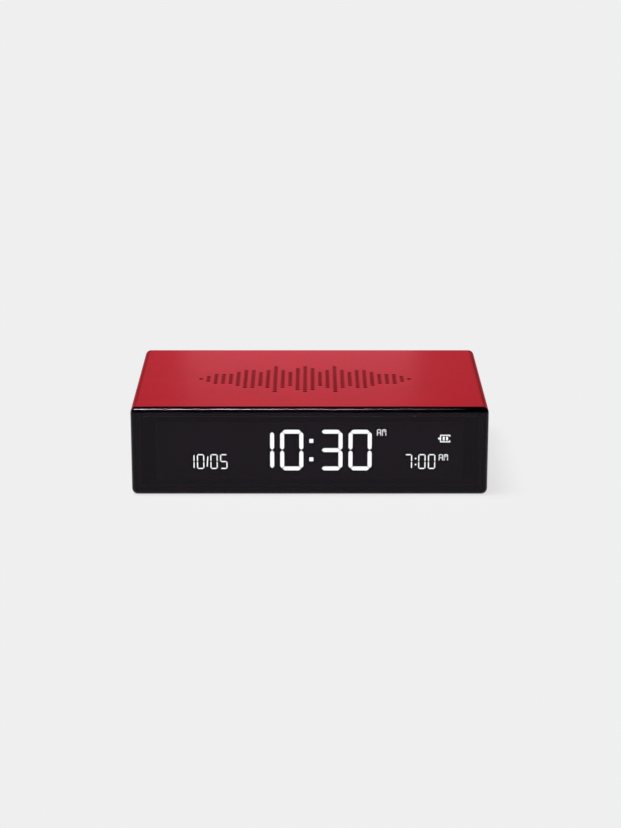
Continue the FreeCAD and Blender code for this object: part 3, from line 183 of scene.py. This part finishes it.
def behind_glass(name, colour, roughness):
    """A dull black surface that stays dark behind the lens."""
    shader = Shader(name, colour, Roughness=roughness)
    shader.base.inputs["Specular IOR Level"].default_value = BLACK_SPECULAR
    shader.tint(shader.noise(120, 2), scaled(colour, 0.93), scaled(colour, 1.07))
    return shader.bump(shader.noise(900, 2), 0.03, 0.00003).material


def plastic(name, colour, roughness, grain=1400, relief=0.2):
    """Moulded plastic with a fine spark-eroded texture."""
    shader = Shader(name, colour, Roughness=roughness)
    shader.tint(shader.noise(120, 2), scaled(colour, 0.93), scaled(colour, 1.07))
    shader.rough(shader.noise(500, 2), max(roughness - 0.06, 0.02), min(roughness + 0.06, 1.0))
    return shader.bump(shader.noise(grain, 3, 0.65), relief, 0.00006).material


def rubber(name, colour):
    """Soft-touch rubber with a faint powdery sheen."""
    shader = Shader(name, colour, Roughness=0.62)
    shader.base.inputs["Sheen Weight"].default_value = 0.25
    shader.base.inputs["Sheen Roughness"].default_value = 0.5
    shader.tint(shader.noise(200, 3), scaled(colour, 0.9), scaled(colour, 1.1))
    return shader.bump(shader.noise(2600, 2, 0.7), 0.2, 0.00004).material


def metal(name, colour, roughness, stretch=(1, 1, 1), grain=800):
    """Plated, rolled or turned metal; stretch draws the grain out along one axis."""
    shader = Shader(name, colour, Metallic=1.0, Roughness=roughness)
    streaks = shader.noise(grain, 4, 0.6, stretch)
    shader.tint(streaks, scaled(colour, 0.88), scaled(colour, 1.05))
    shader.rough(streaks, roughness * 0.75, roughness * 1.25)
    return shader.bump(streaks, 0.15, 0.00003).material


def circuit_board():
    """Green solder mask with faint copper tracks under it."""
    shader = Shader("circuit_board", linear(20, 84, 50), Roughness=0.35)
    tracks = shader.nodes.new("ShaderNodeTexBrick")
    layout = {"Scale": 240.0, "Mortar Size": 0.05, "Brick Width": 1.3, "Row Height": 0.4}
    for label, amount in layout.items():
        tracks.inputs[label].default_value = amount
    tracks.inputs["Color1"].default_value = linear(18, 78, 46)
    tracks.inputs["Color2"].default_value = linear(20, 84, 50)
    tracks.inputs["Mortar"].default_value = linear(30, 100, 60)
    shader.links.new(shader.place, tracks.inputs["Vector"])
    shader.links.new(tracks.outputs["Color"], shader.base.inputs["Base Color"])
    return shader.bump(tracks.outputs["Fac"], 0.3, 0.00004).material


def mesh_cloth():
    """Black dust mesh in a plain weave."""
    shader = Shader("mesh_cloth", linear(18, 17, 18), Roughness=0.85)
    return shader.bump(shader.weave(MESH_PITCH), 0.6, 0.0001).material


def foam():
    """Open-cell foam; its cell hollows carry painted shade."""
    shader = Shader("foam", linear(30, 30, 32), Roughness=0.95)
    cells = shader.nodes.new("ShaderNodeTexVoronoi")
    cells.inputs["Scale"].default_value = 1600
    shader.links.new(shader.place, cells.inputs["Vector"])
    # painted shade: the colour darkens towards each cell's middle, where the bump sinks into a pit
    shader.tint(cells.outputs["Distance"], linear(14, 14, 15), linear(46, 46, 48))
    return shader.bump(cells.outputs["Distance"], 0.8, 0.0003).material


def make_materials():
    """One material for every slot of the record."""
    black_cover = plastic("cover_plastic", linear(28, 28, 30), 0.5, 1500, 0.35)
    white = plastic("white_plastic", linear(222, 221, 216), 0.4)
    steel = metal("zinc_steel", (0.6, 0.6, 0.6, 1.0), 0.32)
    gold = metal("gold_plate", (0.85, 0.6, 0.25, 1.0), 0.25)
    return {
        "sleeve_red": anodised_red(),
        "lens_smoked": smoked_lens(),
        "mask_black": behind_glass("printed_film", linear(4, 4, 5), 0.6),
        "segment_white": lit_segments(),
        "lcd_black": behind_glass("polariser", linear(4, 4, 5), 0.6),
        "guide_clear": plastic("frosted_acrylic", linear(232, 236, 240), 0.3, 700, 0.2),
        "diode_white": plastic("phosphor", linear(236, 222, 150), 0.3),
        "ribbon_amber": plastic("polyimide", linear(186, 112, 30), 0.25, 300, 0.1),
        "holder_white": white,
        "frame_grey": plastic("frame_plastic", linear(70, 70, 73), 0.5),
        "board_green": circuit_board(),
        "chip_black": plastic("chip_epoxy", linear(34, 34, 36), 0.55, 3000, 0.3),
        "tin": metal("tin_plate", (0.7, 0.7, 0.68, 1.0), 0.28, (1, 1, 6)),
        "gold": gold,
        "steel": steel,
        "screw_black": metal("black_oxide", (0.05, 0.05, 0.055, 1.0), 0.38),
        "ball_steel": metal("polished_ball", (0.75, 0.75, 0.76, 1.0), 0.08),
        "brass_disc": metal("rolled_brass", (0.78, 0.56, 0.24, 1.0), 0.3, (1, 12, 1)),
        "part_tan": plastic("sintered_ceramic", linear(168, 138, 104), 0.6, 2500, 0.3),
        "buzzer_black": plastic("buzzer_plastic", linear(30, 30, 30), 0.45),
        "foam_black": foam(),
        "mesh_black": mesh_cloth(),
        "battery_wrap": plastic("shrink_film", linear(48, 82, 138), 0.3, 250, 0.25),
        "strap_metal": metal("stamped_strap", (0.74, 0.74, 0.74, 1.0), 0.35, (1, 14, 1)),
        "lead_red": rubber("red_insulation", linear(178, 24, 22)),
        "lead_black": rubber("black_insulation", linear(22, 22, 23)),
        "plug_white": plastic("nylon", linear(228, 224, 206), 0.45),
        "cover_black": black_cover,
        "key_black": rubber("key_rubber", linear(52, 52, 55)),
        "switch_grey": plastic("switch_plastic", linear(60, 60, 60), 0.5),
        "tongue_black": plastic("tongue_plastic", linear(20, 20, 21), 0.4),
    }


def dress_nodes(materials):
    """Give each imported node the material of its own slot."""
    for entry in frame["record"]["subparts"]:
        node = frame["nodes"][entry["node"]]
        material = materials[entry["material_slot"]]
        if not node.data.materials:
            node.data.materials.append(material)
        for slot in node.material_slots:
            slot.material = material


# ---------------------------------------------------------------- stage, lights and camera

def make_floor():
    """A wide pale floor that glows a little, so that only a faint soft shadow shows on it."""
    mesh = bpy.data.meshes.new("floor")
    corners = [(FLOOR_SIDE * x, FLOOR_SIDE * y, 0) for x, y in ((-1, -1), (1, -1), (1, 1), (-1, 1))]
    mesh.from_pydata(corners, [], [(0, 1, 2, 3)])
    floor = bpy.data.objects.new("floor", mesh)
    floor.location.z = cad_low.z - FLOOR_GAP
    bpy.context.scene.collection.objects.link(floor)
    paper = Shader("floor_paper", (0.1, 0.1, 0.1, 1.0), Roughness=1.0)
    paper.base.inputs["Specular IOR Level"].default_value = 0.0
    paper.base.inputs["Emission Color"].default_value = (1.0, 1.0, 1.0, 1.0)
    paper.base.inputs["Emission Strength"].default_value = FLOOR_GLOW
    paper.bump(paper.noise(300, 3), 0.02, 0.0001)
    mesh.materials.append(paper.material)
    return floor


def only_on(light, objects, name):
    """Let a light fall on the given objects alone."""
    collection = bpy.data.collections.new(name)
    for item in objects:
        collection.objects.link(item)
    light.light_linking.receiver_collection = collection


def softbox(name, at, aim, size, radiance, on=None):
    """A rectangular light that falls on the clock, or on the given nodes alone.

    Radiance is in units of display white.
    """
    data = bpy.data.lights.new(name, "AREA")
    data.shape = "RECTANGLE"
    data.size, data.size_y = size
    data.energy = radiance * math.pi * size[0] * size[1]
    light = bpy.data.objects.new(name, data)
    light.location = at
    light.rotation_euler = (Vector(aim) - Vector(at)).to_track_quat("-Z", "Y").to_euler()
    light.visible_camera = False
    bpy.context.scene.collection.objects.link(light)
    only_on(light, on or frame["nodes"].values(), name + "_on")
    return light


def fade(light, left, right):
    """Make a softbox fade along its width; the two values are the strengths at its ends."""
    light.data.use_nodes = True
    nodes = light.data.node_tree.nodes
    links = light.data.node_tree.links
    where = nodes.new("ShaderNodeNewGeometry")
    split = nodes.new("ShaderNodeSeparateXYZ")
    spread = nodes.new("ShaderNodeMapRange")
    spread.inputs["To Min"].default_value = left
    spread.inputs["To Max"].default_value = right
    links.new(where.outputs["Parametric"], split.inputs["Vector"])
    links.new(split.outputs["X"], spread.inputs["Value"])
    links.new(spread.outputs["Result"], nodes["Emission"].inputs["Strength"])


def make_lights(floor):
    scene = bpy.context.scene
    sleeve = frame["nodes"]["body_sleeve"]
    lens = frame["nodes"]["front_lens"]
    rear_parts = [node for node in frame["nodes"].values() if node not in (sleeve, lens)]
    world = bpy.data.worlds.new("studio")
    world.use_nodes = True
    world.node_tree.nodes["Background"].inputs["Color"].default_value = (1.0, 1.0, 1.0, 1.0)
    world.node_tree.nodes["Background"].inputs["Strength"].default_value = WORLD_STRENGTH
    scene.world = world
    sun_data = bpy.data.lights.new("floor_key", "SUN")
    sun_data.energy = SUN_STRENGTH
    sun_data.angle = SUN_SPREAD
    sun = bpy.data.objects.new("floor_key", sun_data)
    sun.rotation_euler = SUN_DIRECTION.to_track_quat("-Z", "Y").to_euler()
    scene.collection.objects.link(sun)
    only_on(sun, [floor], "floor_key_on")
    # behind and beside the clock: what the sleeve mirrors in the main view
    back = softbox("back_wide", (0.0, 1.0, 0.5), middle, (1.8, 0.9), 0.31, [sleeve])
    fade(back, 0.6, 1.3)
    softbox("back_centre", (0.0, 0.95, 0.42), middle, (0.45, 0.8), 0.5, [sleeve])
    sheen_aim = (-0.004, 0.04, 0.033)
    sheen = softbox("back_low", (-0.004, 0.11, 0.053), sheen_aim, (0.1, 0.03), 1.25, [sleeve])
    sheen.data.color = (0.2, 1.0, 1.0)
    softbox("left", (-0.7, -0.5, 0.35), middle, (0.4, 0.5), 0.9)
    # what the sleeve mirrors in the other views
    for name, side in (("left_wing", -1), ("right_wing", 1)):
        softbox(name, (1.1 * side, 0.05, 0.55), middle, (1.9, 0.9), 0.55, [sleeve])
    softbox("roof", (0.0, 0.15, 1.1), middle, (1.3, 1.1), 0.4, [sleeve])
    softbox("front_wide", (0.0, -1.0, 0.5), middle, (1.8, 0.9), 0.7, [sleeve])
    # the rear cover and its keys
    softbox("rear_key", (-0.35, 0.45, 0.6), middle, (0.2, 0.2), 40.0, rear_parts)
    # the bright line along the upper edge of the lens
    line_x, line_y = -0.16, -0.209
    line_place, line_aim = (line_x, line_y, 0.62), (line_x, line_y, 0.0)
    overhead = softbox("overhead", line_place, line_aim, (0.52, 0.16), 165.0, [lens])
    fade(overhead, 1.0, 0.0)


def make_camera():
    """The viewing angle: a little above the clock, square on to its display."""
    data = bpy.data.cameras.new("camera")
    data.lens = LENS_LENGTH
    data.sensor_width = SENSOR_WIDTH
    camera = bpy.data.objects.new("camera", data)
    camera.location = CAMERA_PLACE
    camera.rotation_euler = (math.radians(90 - CAMERA_DOWN), 0.0, 0.0)
    bpy.context.scene.collection.objects.link(camera)
    bpy.context.scene.camera = camera


def set_look():
    scene = bpy.context.scene
    scene.view_settings.view_transform = "Standard"
    scene.view_settings.look = "None"
    scene.cycles.use_denoising = True


dress_nodes(make_materials())
make_lights(make_floor())
make_camera()
set_look()
